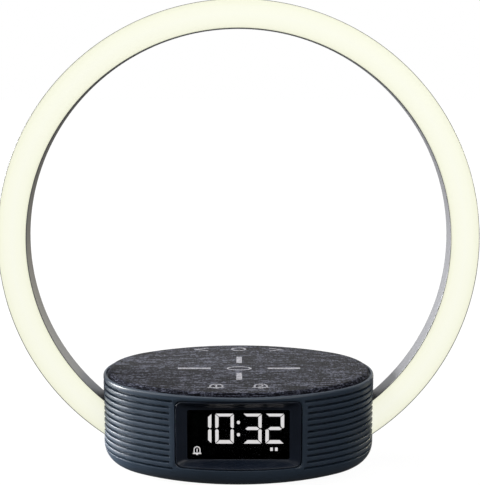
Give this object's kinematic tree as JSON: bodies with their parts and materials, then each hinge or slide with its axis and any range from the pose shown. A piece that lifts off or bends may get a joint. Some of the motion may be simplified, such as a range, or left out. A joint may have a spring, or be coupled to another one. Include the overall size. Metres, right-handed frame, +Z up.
{
  "type": "sunrise alarm clock",
  "caption": "Bedside wake-up light: oval ribbed drum with a digital display and a fabric charging pad on top, under a C-shaped light ring.",
  "frame": {"origin": "middle of the base at table level, under the middle of the light ring", "axes": "+X to the right as seen from the display side, +Y away from the display, +Z up"},
  "size_m": [0.2264, 0.094, 0.2207],
  "materials": {
    "housing_plastic": "satin dark slate",
    "cover_plastic": "fine texture",
    "foot_rubber": "matte",
    "screw_steel": "zinc plated",
    "plate_plastic": "moulded",
    "melange_fabric": "woven melange with printed marks",
    "circuit_board": "solder resist on glass fibre",
    "copper": "bare copper",
    "ferrite": "sintered ferrite",
    "wire_jacket": "insulation",
    "flat_cable": "polyimide film",
    "bezel_plastic": "semi-gloss",
    "smoked_window": "smoked",
    "reflector_plastic": "matte black",
    "lit_segment": "lit white diffuser",
    "unlit_segment": "unlit diffuser",
    "component_plastic": "moulded epoxy",
    "gold_contact": "gold plated",
    "magnet_steel": "coated",
    "speaker_paper": "pressed fibre",
    "cell_steel": "bright",
    "ring_metal": "satin grey",
    "opal_diffuser": "lit opal",
    "strip_white": "flexible board",
    "led_phosphor": "phosphor",
    "socket_plastic": "glass-filled"
  },
  "bodies": {
    "clock": {"outer_housing": "housing_plastic", "bottom_cover": "cover_plastic", "rubber_feet": "foot_rubber", "case_screws": "screw_steel", "top_plate": "plate_plastic", "fabric_cover": "melange_fabric", "top_screws": "screw_steel", "touch_board": "circuit_board", "touch_electrodes": "copper", "touch_ribbon": "flat_cable", "charging_coil": "copper", "coil_ferrite": "ferrite", "coil_leads": "wire_jacket", "charging_board": "circuit_board", "charging_screws": "screw_steel", "display_bezel": "bezel_plastic", "display_window": "smoked_window", "display_reflector": "reflector_plastic", "segments_lit": "lit_segment", "segments_unlit": "unlit_segment", "display_board": "circuit_board", "display_screws": "screw_steel", "display_ribbon": "flat_cable", "main_board": "circuit_board", "board_components": "component_plastic", "board_screws": "screw_steel", "power_socket": "component_plastic", "power_pin": "gold_contact", "speaker_frame": "component_plastic", "speaker_magnet": "magnet_steel", "speaker_screws": "screw_steel", "speaker_leads": "wire_jacket", "coin_cell": "cell_steel", "cell_contact": "gold_contact", "ring_channel": "ring_metal", "ring_diffuser": "opal_diffuser", "led_strip": "strip_white", "ring_leds": "led_phosphor", "ring_socket_left": "socket_plastic", "ring_socket_right": "socket_plastic", "socket_screws": "screw_steel", "ring_leads": "wire_jacket"},
    "battery_door": {"battery_door": "cover_plastic", "battery_door_screw": "screw_steel"},
    "speaker_cone": {"speaker_cone": "speaker_paper"}
  },
  "joints": [
    {"name": "battery_door_slide", "type": "slide", "parent": "clock", "child": "battery_door", "axis": [0, 0, -1], "range_m": [0, 0.015]},
    {"name": "speaker_cone_travel", "type": "slide", "parent": "clock", "child": "speaker_cone", "axis": [0, 0, 1], "range_m": [-0.0008, 0.0008], "stiffness_N_per_m": 1000}
  ]
}
